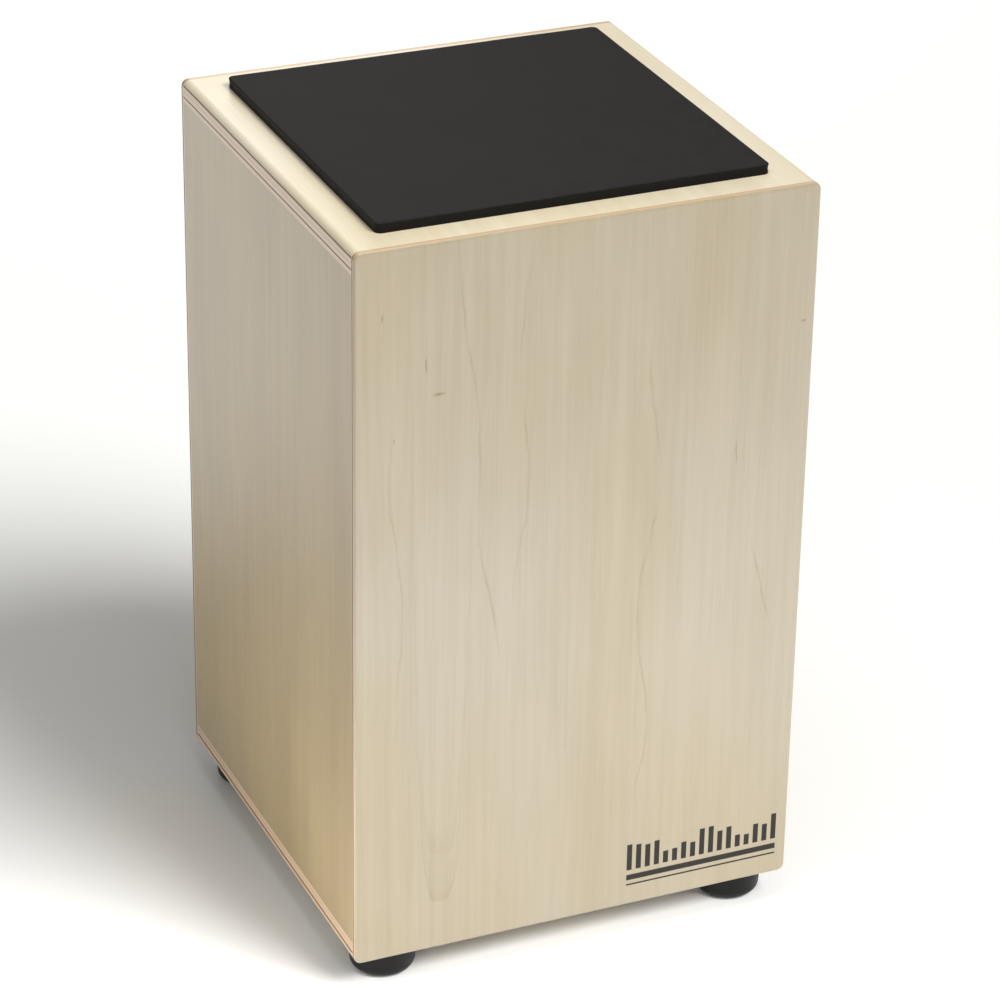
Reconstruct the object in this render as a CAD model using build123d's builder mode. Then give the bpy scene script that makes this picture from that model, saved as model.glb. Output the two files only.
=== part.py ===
"""Cajon: a plywood box drum that the player sits on, with snare strings tuned from below.

Frame: millimetres, +Z up, the tapa (striking plate) faces -Y. The origin is on the floor, under the
middle of the box.
"""

import math
import os

from build123d import *

# ---- driving dimensions -------------------------------------------------------------------------

BOX_WIDTH = 300.0
BOX_DEPTH = 300.0
BOX_HEIGHT = 483.0
PANEL = 14.0  # top, bottom and side panels, each of seven plies
TAPA = 4.0
BACK = 5.0
LONG_EDGE_R = 5.0  # round-over on the four long edges of the box
FACE_EDGE_R = 2.0  # small round-over round the tapa and the back panel

SOUND_HOLE_R = 57.5
SOUND_HOLE_RISE = 280.0  # height of its centre above the underside of the box
SOUND_HOLE_EDGE_R = 1.5

FRONT_BATTEN = 20.0
BACK_BATTEN = 15.0

PAD_WIDTH = 254.0
PAD_DEPTH = 254.0
PAD_THICKNESS = 6.5
PAD_CORNER_R = 4.0

FOOT_HEIGHT = 20.0
FOOT_R = 22.0
FOOT_TAPER = 1.5
FOOT_EDGE_R = 6.5
FOOT_X = 121.5
FOOT_Y = 124.0
FOOT_RECESS_R = 7.5
FOOT_RECESS_DEPTH = 9.2
WASHER_R = 6.5
WASHER_THICKNESS = 1.2
FOOT_SCREW_R = 2.0
FOOT_SCREW_HEAD_R = 4.2
FOOT_SCREW_HEAD = 3.0
FOOT_SCREW_BITE = 11.0  # length of the screw inside the bottom panel

STRING_X = 60.0  # middle of each snare string's V, either side of the centre
STRING_SPREAD = 32.0  # from that middle to either upper end
STRING_R = 0.45
STRING_SETBACK = 0.6  # from the inner face of the tapa to the string's centre
STOP_WIDTH = 3.0
STOP_DEPTH = 1.0
STOP_LENGTH = 5.0
STOP_LIFT = 0.15

ANGLE_LENGTH = 220.0
ANGLE_THICKNESS = 2.0
ANGLE_UPRIGHT = 16.0
ANGLE_FRONT_GAP = 0.1
ANGLE_SCREW_XS = (-60.0, 0.0, 60.0)
NOTCH_WIDTH = 1.4
NOTCH_DEPTH = 1.2
POCKET_WIDTH = 6.0
POCKET_DEPTH = 2.0
POCKET_HEIGHT = 8.0
ANGLE_SCREW_R = 1.6
ANGLE_SCREW_HEAD_R = 3.5
ANGLE_SCREW_HEAD = 2.4
ANGLE_SCREW_LENGTH = 16.0

BOLT_R = 2.95
BOLT_LENGTH = 60.0
BOLT_HEAD_R = 5.0
BOLT_HEAD = 6.0
BOLT_SETBACK = 10.0  # from the inner face of the tapa to the bolt's axis
BOLT_HEAD_GAP = 0.05
HEX_FLAT_TO_FLAT = 5.0
HEX_DEPTH = 3.5
FERRULE_R = 6.5
FERRULE_FLANGE_R = 9.0
FERRULE_FLANGE = 1.2
FERRULE_BORE_R = 5.3
FERRULE_SEAT = 3.0
FERRULE_SEAT_HOLE_R = 3.2
BATTEN_BOLT_HOLE_R = 4.0
CLIP_R = 5.5
CLIP_THICKNESS = 0.9
CLIP_GROOVE = 1.0
CLIP_GROOVE_R = 2.4
CLIP_LIFT = 0.4  # groove's height above the front bottom batten
CLIP_MOUTH = 3.6

CARRIER_WIDTH = 16.0
CARRIER_HEIGHT = 14.0
CARRIER_FRONT = 1.3  # from the inner face of the tapa to the carrier's front
CARRIER_BACK = 17.0  # from the inner face of the tapa to the carrier's back
CARRIER_RISE = 32.0  # its underside, above the bottom panel
CARRIER_EDGE = 0.8
CARRIER_HOLE_R = 3.0
PEG_R = 4.0
PEG_LENGTH = 1.1
PEG_RISE = 9.0  # above the carrier's underside
PEG_GAP = 0.02

BLOCK_WIDTH = 168.0
BLOCK_HEIGHT = 35.0
BLOCK_BACK = 28.0  # from the inner face of the tapa to the block's back
BLOCK_FRONT_GAP = 0.1
BLOCK_EDGE = 2.0
SLOT_CLEARANCE = 0.3
BLOCK_SCREW_X = 36.0
BLOCK_SCREW_SETBACK = 15.0
BLOCK_SCREW_R = 2.0
BLOCK_SCREW_HEAD_R = 4.0
BLOCK_SCREW_HEAD = 2.8
BLOCK_SCREW_LENGTH = 45.0

CROSS_WIDTH = 1.0
CROSS_DEPTH = 1.5
HEAD_ROUND_SHARE = 0.45  # a pan head's edge radius, as a share of its height

# ---- places worked out from them ----------------------------------------------------------------

BOX_BOTTOM = FOOT_HEIGHT
BOX_TOP = BOX_BOTTOM + BOX_HEIGHT
INSIDE_BOTTOM = BOX_BOTTOM + PANEL
INSIDE_TOP = BOX_TOP - PANEL
INSIDE_X = BOX_WIDTH / 2 - PANEL
SHELL_FRONT = -BOX_DEPTH / 2 + TAPA
SHELL_BACK = BOX_DEPTH / 2 - BACK
SHELL_DEPTH = SHELL_BACK - SHELL_FRONT

ANGLE_Z = INSIDE_TOP - FRONT_BATTEN  # upper face of the angle's flat leg
ANGLE_BACK = SHELL_FRONT + FRONT_BATTEN + ANGLE_THICKNESS
ANGLE_SCREW_Z = ANGLE_Z + ANGLE_UPRIGHT / 2
STRING_Y = SHELL_FRONT + STRING_SETBACK
BOLT_Y = SHELL_FRONT + BOLT_SETBACK
BOLT_SEAT_Z = INSIDE_BOTTOM - FERRULE_SEAT - BOLT_HEAD_GAP
BATTEN_TOP = INSIDE_BOTTOM + FRONT_BATTEN  # upper face of the front bottom batten
CARRIER_Z = INSIDE_BOTTOM + CARRIER_RISE
PEG_Z = CARRIER_Z + PEG_RISE
BLOCK_SCREW_Y = SHELL_FRONT + BLOCK_SCREW_SETBACK
BLOCK_TOP = BATTEN_TOP + BLOCK_HEIGHT
STRING_BEND_R = PEG_R + STRING_R + PEG_GAP

SIDES = {"left": -1, "right": 1}
STRING_ENDS = [side * STRING_X + way * STRING_SPREAD for side in (-1, 1) for way in (-1, 1)]
FOOT_PLACES = {
    "front_left": (-FOOT_X, -FOOT_Y),
    "front_right": (FOOT_X, -FOOT_Y),
    "back_left": (-FOOT_X, FOOT_Y),
    "back_right": (FOOT_X, FOOT_Y),
}

LOW = (Align.CENTER, Align.CENTER, Align.MIN)


def write(piece, label):
    """Names a finished piece and writes its file."""
    piece.part.label = label
    export_step(piece.part, f"parts/{label}.step")


def front_plane(y):
    """A plane square to Y at y, with its drawing's x along +X and its y along +Z."""
    return Plane.XZ.offset(-y)


def wide_panel(z_low, rounded_row):
    """Top or bottom panel: as wide as the box, with its two outer long edges rounded over."""
    with BuildPart() as panel:
        with BuildSketch(front_plane(SHELL_BACK)) as profile:
            with Locations((0, z_low + PANEL / 2)):
                Rectangle(BOX_WIDTH, PANEL)
            fillet(profile.vertices().group_by(Axis.Y)[rounded_row], LONG_EDGE_R)
        extrude(amount=SHELL_DEPTH)
    return panel.part


def make_top_panel():
    with BuildPart() as panel:
        add(wide_panel(INSIDE_TOP, -1))
    write(panel, "top_panel")


def make_bottom_panel():
    """The bottom panel has holes for the ferrules and blind holes for the feet's screws."""
    with BuildPart() as panel:
        add(wide_panel(BOX_BOTTOM, 0))
        with Locations(*[(side * STRING_X, BOLT_Y, BOX_BOTTOM) for side in SIDES.values()]):
            Cylinder(FERRULE_R, PANEL, align=LOW, mode=Mode.SUBTRACT)
        with Locations(*[(x, y, BOX_BOTTOM) for x, y in FOOT_PLACES.values()]):
            Cylinder(FOOT_SCREW_R, FOOT_SCREW_BITE, align=LOW, mode=Mode.SUBTRACT)
    write(panel, "bottom_panel")


def make_side_panels():
    """The two side panels stand between the top and bottom panels."""
    for side, way in SIDES.items():
        with BuildPart() as panel:
            with BuildSketch(Plane.XY.offset(INSIDE_BOTTOM)):
                with Locations((way * (INSIDE_X + PANEL / 2), (SHELL_FRONT + SHELL_BACK) / 2)):
                    Rectangle(PANEL, SHELL_DEPTH)
            extrude(amount=INSIDE_TOP - INSIDE_BOTTOM)
        write(panel, f"{side}_side_panel")


def make_tapa():
    """The thin striking plate covers the whole front, and its corners follow the box's round-over."""
    with BuildPart() as tapa:
        with BuildSketch(front_plane(SHELL_FRONT)):
            with Locations((0, BOX_BOTTOM + BOX_HEIGHT / 2)):
                RectangleRounded(BOX_WIDTH, BOX_HEIGHT, LONG_EDGE_R)
        extrude(amount=TAPA)
        fillet(tapa.faces().sort_by(Axis.Y)[0].edges(), FACE_EDGE_R)
    write(tapa, "tapa")


def make_back_panel():
    """The back panel covers the whole back and has the round sound hole."""
    with BuildPart() as back:
        with BuildSketch(front_plane(BOX_DEPTH / 2)):
            with Locations((0, BOX_BOTTOM + BOX_HEIGHT / 2)):
                RectangleRounded(BOX_WIDTH, BOX_HEIGHT, LONG_EDGE_R)
            with Locations((0, BOX_BOTTOM + SOUND_HOLE_RISE)):
                Circle(SOUND_HOLE_R, mode=Mode.SUBTRACT)
        extrude(amount=BACK)
        outer_face = back.faces().sort_by(Axis.Y)[-1]
        fillet(outer_face.outer_wire().edges(), FACE_EDGE_R)
        fillet(back.edges().filter_by(GeomType.CIRCLE).sort_by(Axis.Y)[-1], SOUND_HOLE_EDGE_R)
    write(back, "back_panel")


def batten(section, middle_y, across, z_low, z_high):
    """A square strip between two heights that spans the x values in across."""
    with BuildPart() as strip:
        with BuildSketch(Plane.XY.offset(z_low)):
            with Locations((sum(across) / 2, middle_y)):
                Rectangle(across[1] - across[0], section)
        extrude(amount=z_high - z_low)
    return strip.part


def make_upright_battens():
    """Four uprights, one in each corner, between the battens along the top and the bottom."""
    rows = {
        "front": (FRONT_BATTEN, SHELL_FRONT + FRONT_BATTEN / 2),
        "back": (BACK_BATTEN, SHELL_BACK - BACK_BATTEN / 2),
    }
    for row, (section, middle_y) in rows.items():
        for side, way in SIDES.items():
            across = sorted((way * INSIDE_X, way * (INSIDE_X - section)))
            with BuildPart() as strip:
                add(batten(section, middle_y, across, INSIDE_BOTTOM + section, INSIDE_TOP - section))
            write(strip, f"{row}_batten_{side}")


def make_back_cross_battens():
    """Two strips behind the back panel's top and bottom edges."""
    middle_y = SHELL_BACK - BACK_BATTEN / 2
    across = (-INSIDE_X, INSIDE_X)
    for place, z_low in {"top": INSIDE_TOP - BACK_BATTEN, "bottom": INSIDE_BOTTOM}.items():
        with BuildPart() as strip:
            add(batten(BACK_BATTEN, middle_y, across, z_low, z_low + BACK_BATTEN))
        write(strip, f"back_batten_{place}")


def make_front_top_batten():
    """It has a pocket for each string's stop and blind holes for the anchor bar's screws."""
    middle_y = SHELL_FRONT + FRONT_BATTEN / 2
    with BuildPart() as strip:
        add(batten(FRONT_BATTEN, middle_y, (-INSIDE_X, INSIDE_X), ANGLE_Z, INSIDE_TOP))
        with Locations(*[(x, SHELL_FRONT + POCKET_DEPTH / 2, ANGLE_Z) for x in STRING_ENDS]):
            Box(POCKET_WIDTH, POCKET_DEPTH, POCKET_HEIGHT, align=LOW, mode=Mode.SUBTRACT)
        with BuildSketch(front_plane(SHELL_FRONT + FRONT_BATTEN)):
            with Locations(*[(x, ANGLE_SCREW_Z) for x in ANGLE_SCREW_XS]):
                Circle(ANGLE_SCREW_R)
        extrude(amount=ANGLE_SCREW_LENGTH - ANGLE_THICKNESS, mode=Mode.SUBTRACT)
    write(strip, "front_batten_top")


def make_front_bottom_batten():
    """The tension bolts pass through it, and the tuner block's screws bite in it."""
    middle_y = SHELL_FRONT + FRONT_BATTEN / 2
    bite = BLOCK_SCREW_LENGTH - BLOCK_HEIGHT
    with BuildPart() as strip:
        add(batten(FRONT_BATTEN, middle_y, (-INSIDE_X, INSIDE_X), INSIDE_BOTTOM, BATTEN_TOP))
        with Locations(*[(side * STRING_X, BOLT_Y, INSIDE_BOTTOM) for side in SIDES.values()]):
            Cylinder(BATTEN_BOLT_HOLE_R, FRONT_BATTEN, align=LOW, mode=Mode.SUBTRACT)
        with Locations(*[(side * BLOCK_SCREW_X, BLOCK_SCREW_Y, BATTEN_TOP - bite) for side in (-1, 1)]):
            Cylinder(BLOCK_SCREW_R, bite, align=LOW, mode=Mode.SUBTRACT)
    write(strip, "front_batten_bottom")


def make_seat_pad():
    with BuildPart() as pad:
        with BuildSketch(Plane.XY.offset(BOX_TOP)):
            RectangleRounded(PAD_WIDTH, PAD_DEPTH, PAD_CORNER_R)
        extrude(amount=PAD_THICKNESS)
    write(pad, "seat_pad")


def make_feet():
    """Each rubber foot is a tapered puck with a recess below for its washer and screw head."""
    foot_low_r = FOOT_R - FOOT_TAPER
    for corner, (x, y) in FOOT_PLACES.items():
        with BuildPart() as foot:
            with BuildSketch(Plane.XZ) as half:
                with BuildLine():
                    Polyline(
                        (FOOT_RECESS_R, 0),
                        (foot_low_r, 0),
                        (FOOT_R, FOOT_HEIGHT),
                        (FOOT_SCREW_R, FOOT_HEIGHT),
                        (FOOT_SCREW_R, FOOT_RECESS_DEPTH),
                        (FOOT_RECESS_R, FOOT_RECESS_DEPTH),
                        close=True,
                    )
                make_face()
                outer_low = half.vertices().group_by(Axis.Y)[0].sort_by(Axis.X)[-1]
                fillet(outer_low, FOOT_EDGE_R)
            revolve(axis=Axis.Z)
        foot.part = foot.part.moved(Location((x, y, 0)))
        write(foot, f"foot_{corner}")


def foot_places(z):
    return [(x, y, z) for x, y in FOOT_PLACES.values()]


def make_foot_washers():
    with BuildPart() as washers:
        with BuildSketch(Plane.XY.offset(FOOT_RECESS_DEPTH - WASHER_THICKNESS)):
            with Locations(*FOOT_PLACES.values()):
                Circle(WASHER_R)
                Circle(FOOT_SCREW_R, mode=Mode.SUBTRACT)
        extrude(amount=WASHER_THICKNESS)
    write(washers, "foot_washers")


def wood_screw(shaft_r, shaft_length, head_r, head_height):
    """A pan-head screw along Z: the shaft stands above z = 0 and the head hangs below it."""
    with BuildPart() as screw:
        Cylinder(shaft_r, shaft_length, align=LOW)
        with BuildSketch(Plane.XY):
            Circle(head_r)
        extrude(amount=-head_height)
        fillet(screw.faces().sort_by(Axis.Z)[0].edges(), head_height * HEAD_ROUND_SHARE)
        with Locations((0, 0, -head_height)):
            Box(head_r, CROSS_WIDTH, CROSS_DEPTH, align=LOW, mode=Mode.SUBTRACT)
            Box(CROSS_WIDTH, head_r, CROSS_DEPTH, align=LOW, mode=Mode.SUBTRACT)
        chamfer(screw.faces().sort_by(Axis.Z)[-1].edges(), shaft_r / 2)
    return screw.part


def screw_group(screw, places, label):
    """One node that holds the same screw at several places."""
    with BuildPart() as group:
        for place in places:
            add(screw.moved(place))
    write(group, label)


def make_foot_screws():
    head_z = FOOT_RECESS_DEPTH - WASHER_THICKNESS
    shaft = BOX_BOTTOM + FOOT_SCREW_BITE - head_z
    screw = wood_screw(FOOT_SCREW_R, shaft, FOOT_SCREW_HEAD_R, FOOT_SCREW_HEAD)
    screw_group(screw, [Location(place) for place in foot_places(head_z)], "foot_screws")


def make_anchor_screws():
    """Their heads face backwards, towards the sound hole."""
    screw = wood_screw(ANGLE_SCREW_R, ANGLE_SCREW_LENGTH, ANGLE_SCREW_HEAD_R, ANGLE_SCREW_HEAD)
    turned = [Location((x, ANGLE_BACK, ANGLE_SCREW_Z), (90, 0, 0)) for x in ANGLE_SCREW_XS]
    screw_group(screw, turned, "anchor_screws")


def make_block_screws():
    """Their heads lie on top of the tuner block."""
    screw = wood_screw(BLOCK_SCREW_R, BLOCK_SCREW_LENGTH, BLOCK_SCREW_HEAD_R, BLOCK_SCREW_HEAD)
    turned = [
        Location((side * BLOCK_SCREW_X, BLOCK_SCREW_Y, BLOCK_TOP), (180, 0, 0)) for side in (-1, 1)
    ]
    screw_group(screw, turned, "tuner_block_screws")


def make_string_anchor_bar():
    """An angle under the front top batten, notched at its front edge where the strings pass."""
    front = SHELL_FRONT + ANGLE_FRONT_GAP
    low = ANGLE_Z - ANGLE_THICKNESS
    with BuildPart() as bar:
        with BuildSketch(Plane.YZ.offset(-ANGLE_LENGTH / 2)) as section:
            with BuildLine():
                Polyline(
                    (front, low),
                    (ANGLE_BACK, low),
                    (ANGLE_BACK, ANGLE_Z + ANGLE_UPRIGHT),
                    (ANGLE_BACK - ANGLE_THICKNESS, ANGLE_Z + ANGLE_UPRIGHT),
                    (ANGLE_BACK - ANGLE_THICKNESS, ANGLE_Z),
                    (front, ANGLE_Z),
                    close=True,
                )
            make_face()
            fillet(section.vertices().group_by(Axis.Y)[0].sort_by(Axis.X)[-1], ANGLE_THICKNESS)
        extrude(amount=ANGLE_LENGTH)
        with Locations(*[(x, front + NOTCH_DEPTH / 2, low) for x in STRING_ENDS]):
            Box(NOTCH_WIDTH, NOTCH_DEPTH, ANGLE_THICKNESS, align=LOW, mode=Mode.SUBTRACT)
        with BuildSketch(front_plane(ANGLE_BACK)):
            with Locations(*[(x, ANGLE_SCREW_Z) for x in ANGLE_SCREW_XS]):
                Circle(ANGLE_SCREW_R)
        extrude(amount=ANGLE_THICKNESS, mode=Mode.SUBTRACT)
    write(bar, "string_anchor_bar")


def string_run():
    """Upper end and tangent point of one string's right half, measured from its peg's centre."""
    rise = ANGLE_Z + STOP_LIFT - PEG_Z
    reach = math.hypot(STRING_SPREAD, rise)
    turn = math.atan2(rise, STRING_SPREAD) - math.acos(STRING_BEND_R / reach)
    tangent = (STRING_BEND_R * math.cos(turn), STRING_BEND_R * math.sin(turn))
    return (STRING_SPREAD, rise), tangent


def make_snare_strings():
    """Each string runs down from one stop, under its carrier's peg and up to the other stop."""
    (end_x, end_z), (touch_x, touch_z) = string_run()
    for side, way in SIDES.items():
        plane = Plane(origin=(way * STRING_X, STRING_Y, PEG_Z), x_dir=(1, 0, 0), z_dir=(0, -1, 0))
        with BuildPart() as string:
            with BuildLine(plane) as path:
                Line((-end_x, end_z), (-touch_x, touch_z))
                ThreePointArc((-touch_x, touch_z), (0, -STRING_BEND_R), (touch_x, touch_z))
                Line((touch_x, touch_z), (end_x, end_z))
            with BuildSketch(Plane(origin=path.line @ 0, z_dir=path.line % 0)):
                Circle(STRING_R)
            sweep(path=path.line)
        write(string, f"snare_string_{side}")


def make_string_stops():
    """Flat crimped sleeves on the four string ends, which sit on the anchor bar in the pockets."""
    (end_x, end_z), (touch_x, touch_z) = string_run()
    lean = math.degrees(math.atan2(end_x - touch_x, end_z - touch_z))
    with BuildPart() as stops:
        for side in SIDES.values():
            for way in (-1, 1):
                foot = (side * STRING_X + way * end_x, STRING_Y, PEG_Z + end_z)
                with Locations(Location(foot, (0, way * lean, 0))):
                    Box(STOP_WIDTH, STOP_DEPTH, STOP_LENGTH, align=LOW)
    write(stops, "string_stops")


def make_tuner_block():
    """A hardwood block on the front bottom batten, with an upright slot for each carrier."""
    slot_back = SHELL_FRONT + CARRIER_BACK + SLOT_CLEARANCE
    front = SHELL_FRONT + BLOCK_FRONT_GAP
    back = SHELL_FRONT + BLOCK_BACK
    with BuildPart() as block:
        with BuildSketch(Plane.XY.offset(BATTEN_TOP)):
            with Locations((0, (front + back) / 2)):
                Rectangle(BLOCK_WIDTH, back - front)
            with Locations(*[(side * STRING_X, (front + slot_back) / 2) for side in (-1, 1)]):
                Rectangle(CARRIER_WIDTH + 2 * SLOT_CLEARANCE, slot_back - front, mode=Mode.SUBTRACT)
            with Locations(*[(side * BLOCK_SCREW_X, BLOCK_SCREW_Y) for side in (-1, 1)]):
                Circle(BLOCK_SCREW_R, mode=Mode.SUBTRACT)
        extrude(amount=BLOCK_HEIGHT)
        back_top = block.edges().filter_by(Axis.X).group_by(Axis.Z)[-1].sort_by(Axis.Y)[-1]
        chamfer(back_top, BLOCK_EDGE)
    write(block, "tuner_block")


def make_string_carriers():
    """A steel block with a threaded hole for the bolt and a peg that the string bends round."""
    front = SHELL_FRONT + CARRIER_FRONT
    back = SHELL_FRONT + CARRIER_BACK
    for side, way in SIDES.items():
        x = way * STRING_X
        with BuildPart() as carrier:
            with BuildSketch(Plane.XY.offset(CARRIER_Z)):
                with Locations((x, (front + back) / 2)):
                    Rectangle(CARRIER_WIDTH, back - front)
            extrude(amount=CARRIER_HEIGHT)
            chamfer(carrier.faces().sort_by(Axis.Y)[-1].edges(), CARRIER_EDGE)
            with Locations((x, BOLT_Y, CARRIER_Z)):
                Cylinder(CARRIER_HOLE_R, CARRIER_HEIGHT, align=LOW, mode=Mode.SUBTRACT)
            with BuildSketch(front_plane(front)):
                with Locations((x, PEG_Z)):
                    Circle(PEG_R)
            extrude(amount=PEG_LENGTH)
        write(carrier, f"string_carrier_{side}")


def make_tension_bolts():
    """Socket-head bolts, head down, with a groove above the batten for the retaining clip."""
    groove_low = BATTEN_TOP + CLIP_LIFT - BOLT_SEAT_Z
    tip_edge = (BOLT_R - CLIP_GROOVE_R) / 2
    head_edge = BOLT_HEAD * 0.1
    for side, way in SIDES.items():
        with BuildPart() as bolt:
            with BuildSketch(Plane.XZ):
                with BuildLine():
                    Polyline(
                        (0, -BOLT_HEAD),
                        (BOLT_HEAD_R - head_edge, -BOLT_HEAD),
                        (BOLT_HEAD_R, -BOLT_HEAD + head_edge),
                        (BOLT_HEAD_R, 0),
                        (BOLT_R, 0),
                        (BOLT_R, groove_low),
                        (CLIP_GROOVE_R, groove_low),
                        (CLIP_GROOVE_R, groove_low + CLIP_GROOVE),
                        (BOLT_R, groove_low + CLIP_GROOVE),
                        (BOLT_R, BOLT_LENGTH - tip_edge),
                        (BOLT_R - tip_edge, BOLT_LENGTH),
                        (0, BOLT_LENGTH),
                        close=True,
                    )
                make_face()
            revolve(axis=Axis.Z)
            with BuildSketch(Plane.XY.offset(-BOLT_HEAD)):
                RegularPolygon(HEX_FLAT_TO_FLAT / 2, 6, major_radius=False)
            extrude(amount=HEX_DEPTH, mode=Mode.SUBTRACT)
        bolt.part = bolt.part.moved(Location((way * STRING_X, BOLT_Y, BOLT_SEAT_Z)))
        write(bolt, f"tension_bolt_{side}")


def make_bolt_clips():
    """A flat clip with an open mouth snaps into each bolt's groove and stops it dropping out."""
    low = BATTEN_TOP + CLIP_LIFT + (CLIP_GROOVE - CLIP_THICKNESS) / 2
    for side, way in SIDES.items():
        with BuildPart() as clip:
            with BuildSketch(Plane(origin=(way * STRING_X, BOLT_Y, low))):
                Circle(CLIP_R)
                Circle(CLIP_GROOVE_R, mode=Mode.SUBTRACT)
                with Locations((0, CLIP_R / 2)):
                    Rectangle(CLIP_MOUTH, CLIP_R, mode=Mode.SUBTRACT)
            extrude(amount=CLIP_THICKNESS)
        write(clip, f"bolt_clip_{side}")


def make_bolt_ferrules():
    """A flanged cup in the bottom panel: the bolt's head turns in it and bears on its seat."""
    seat_z = PANEL - FERRULE_SEAT
    for side, way in SIDES.items():
        with BuildPart() as ferrule:
            with BuildSketch(Plane.XZ):
                with BuildLine():
                    Polyline(
                        (FERRULE_BORE_R, -FERRULE_FLANGE),
                        (FERRULE_FLANGE_R, -FERRULE_FLANGE),
                        (FERRULE_FLANGE_R, 0),
                        (FERRULE_R, 0),
                        (FERRULE_R, PANEL),
                        (FERRULE_SEAT_HOLE_R, PANEL),
                        (FERRULE_SEAT_HOLE_R, seat_z),
                        (FERRULE_BORE_R, seat_z),
                        close=True,
                    )
                make_face()
            revolve(axis=Axis.Z)
            flange_rim = ferrule.edges().filter_by(GeomType.CIRCLE).group_by(Axis.Z)[0].sort_by(
                SortBy.LENGTH
            )[-1]
            fillet(flange_rim, FERRULE_FLANGE / 2)
        ferrule.part = ferrule.part.moved(Location((way * STRING_X, BOLT_Y, BOX_BOTTOM)))
        write(ferrule, f"bolt_ferrule_{side}")


def main():
    os.makedirs("parts", exist_ok=True)
    make_top_panel()
    make_bottom_panel()
    make_side_panels()
    make_tapa()
    make_back_panel()
    make_upright_battens()
    make_back_cross_battens()
    make_front_top_batten()
    make_front_bottom_batten()
    make_seat_pad()
    make_feet()
    make_foot_washers()
    make_foot_screws()
    make_string_anchor_bar()
    make_anchor_screws()
    make_snare_strings()
    make_string_stops()
    make_tuner_block()
    make_block_screws()
    make_string_carriers()
    make_tension_bolts()
    make_bolt_clips()
    make_bolt_ferrules()


main()
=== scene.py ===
# %% [markdown]
# A box drum, finished in Blender.
# The drum is a plywood box that the player sits on. The engineering model of it is already there as a
# frame: every panel, screw and bolt stands at its real place and size, in metres. This lesson gives
# that frame its looks. Most parts keep their shape and get a proper finish. Four things are made anew,
# because a finish can't give their shape: the foam seat pad, the wound snare strings, the threaded
# tension bolts and the printed mark on the front.

# %% Load the frame
import math

import bmesh
import bpy
from mathutils import Matrix, Vector
from mathutils import noise as value_noise


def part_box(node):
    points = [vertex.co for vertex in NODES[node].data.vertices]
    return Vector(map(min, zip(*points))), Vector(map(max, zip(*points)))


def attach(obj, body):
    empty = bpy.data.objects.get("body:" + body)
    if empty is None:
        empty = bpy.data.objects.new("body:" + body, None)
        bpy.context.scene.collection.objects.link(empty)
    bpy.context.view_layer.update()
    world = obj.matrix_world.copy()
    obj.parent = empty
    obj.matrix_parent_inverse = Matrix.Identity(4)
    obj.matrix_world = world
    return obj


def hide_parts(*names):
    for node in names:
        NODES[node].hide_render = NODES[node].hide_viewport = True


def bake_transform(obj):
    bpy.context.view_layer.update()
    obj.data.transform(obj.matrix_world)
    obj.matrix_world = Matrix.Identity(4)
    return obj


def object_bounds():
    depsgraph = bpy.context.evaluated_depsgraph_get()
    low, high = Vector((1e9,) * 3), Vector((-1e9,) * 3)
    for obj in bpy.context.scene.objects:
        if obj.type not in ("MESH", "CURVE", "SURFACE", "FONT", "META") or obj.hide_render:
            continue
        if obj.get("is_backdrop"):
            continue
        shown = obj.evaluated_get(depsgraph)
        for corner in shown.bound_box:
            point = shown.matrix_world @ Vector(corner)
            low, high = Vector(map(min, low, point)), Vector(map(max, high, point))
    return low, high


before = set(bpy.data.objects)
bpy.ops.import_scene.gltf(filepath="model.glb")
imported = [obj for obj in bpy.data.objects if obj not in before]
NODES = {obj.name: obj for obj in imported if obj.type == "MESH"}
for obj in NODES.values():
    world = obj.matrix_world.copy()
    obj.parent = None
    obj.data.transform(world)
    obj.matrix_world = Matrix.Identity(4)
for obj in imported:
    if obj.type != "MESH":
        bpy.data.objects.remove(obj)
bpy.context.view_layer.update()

MM = 0.001

# %% [markdown]
# Sizes come from the frame. The names below are the few places that later cells need: the front face of
# the drum, the underside and top of the box, and where the seat pad lies.

# %% Places read from the frame
TAPA_LOW, TAPA_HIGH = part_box("tapa")
PAD_LOW, PAD_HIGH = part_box("seat_pad")
FRONT_Y = TAPA_LOW.y
BOX_LOW, BOX_HIGH = TAPA_LOW.z, TAPA_HIGH.z
SIDES = ("left", "right")
print("box from", round(BOX_LOW, 4), "to", round(BOX_HIGH, 4), "pad top", round(PAD_HIGH.z, 4))

# %% [markdown]
# A few helpers serve every material. Colours are written as sRGB hex, the way a paint chart gives them,
# and one function turns them to the linear values that shaders use. Another adds one node, sets it and
# links it, so that a material reads from top to bottom as its signal flows. The rest start a material,
# put it on parts of the frame, and stretch a pattern along the grain.

# %% Helpers for materials
def linear(hex_colour):
    """An sRGB hex colour as linear red, green, blue and alpha."""
    parts = [int(hex_colour[i : i + 2], 16) / 255 for i in (1, 3, 5)]
    return tuple(p / 12.92 if p <= 0.04045 else ((p + 0.055) / 1.055) ** 2.4 for p in parts) + (1.0,)


def grey(value):
    return (value, value, value, 1.0)


def add(tree, kind, inputs=None, stops=None, **settings):
    """Adds a node. An input is a value, a socket, or a node whose first live output is used."""
    made = tree.nodes.new(kind)
    for name, value in settings.items():
        setattr(made, name, value)
    if stops:
        elements = made.color_ramp.elements
        elements.remove(elements[1])
        elements[0].position, elements[0].color = stops[0]
        for place, colour in stops[1:]:
            elements.new(place).color = colour
    for key, value in (inputs or {}).items():
        live = [s for s in made.inputs if s.enabled]
        socket = made.inputs[key] if isinstance(key, int) else next(s for s in live if s.name == key)
        if isinstance(value, bpy.types.Node):
            value = next(s for s in value.outputs if s.enabled)
        if isinstance(value, bpy.types.NodeSocket):
            tree.links.new(value, socket)
        else:
            socket.default_value = value
    return made


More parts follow.
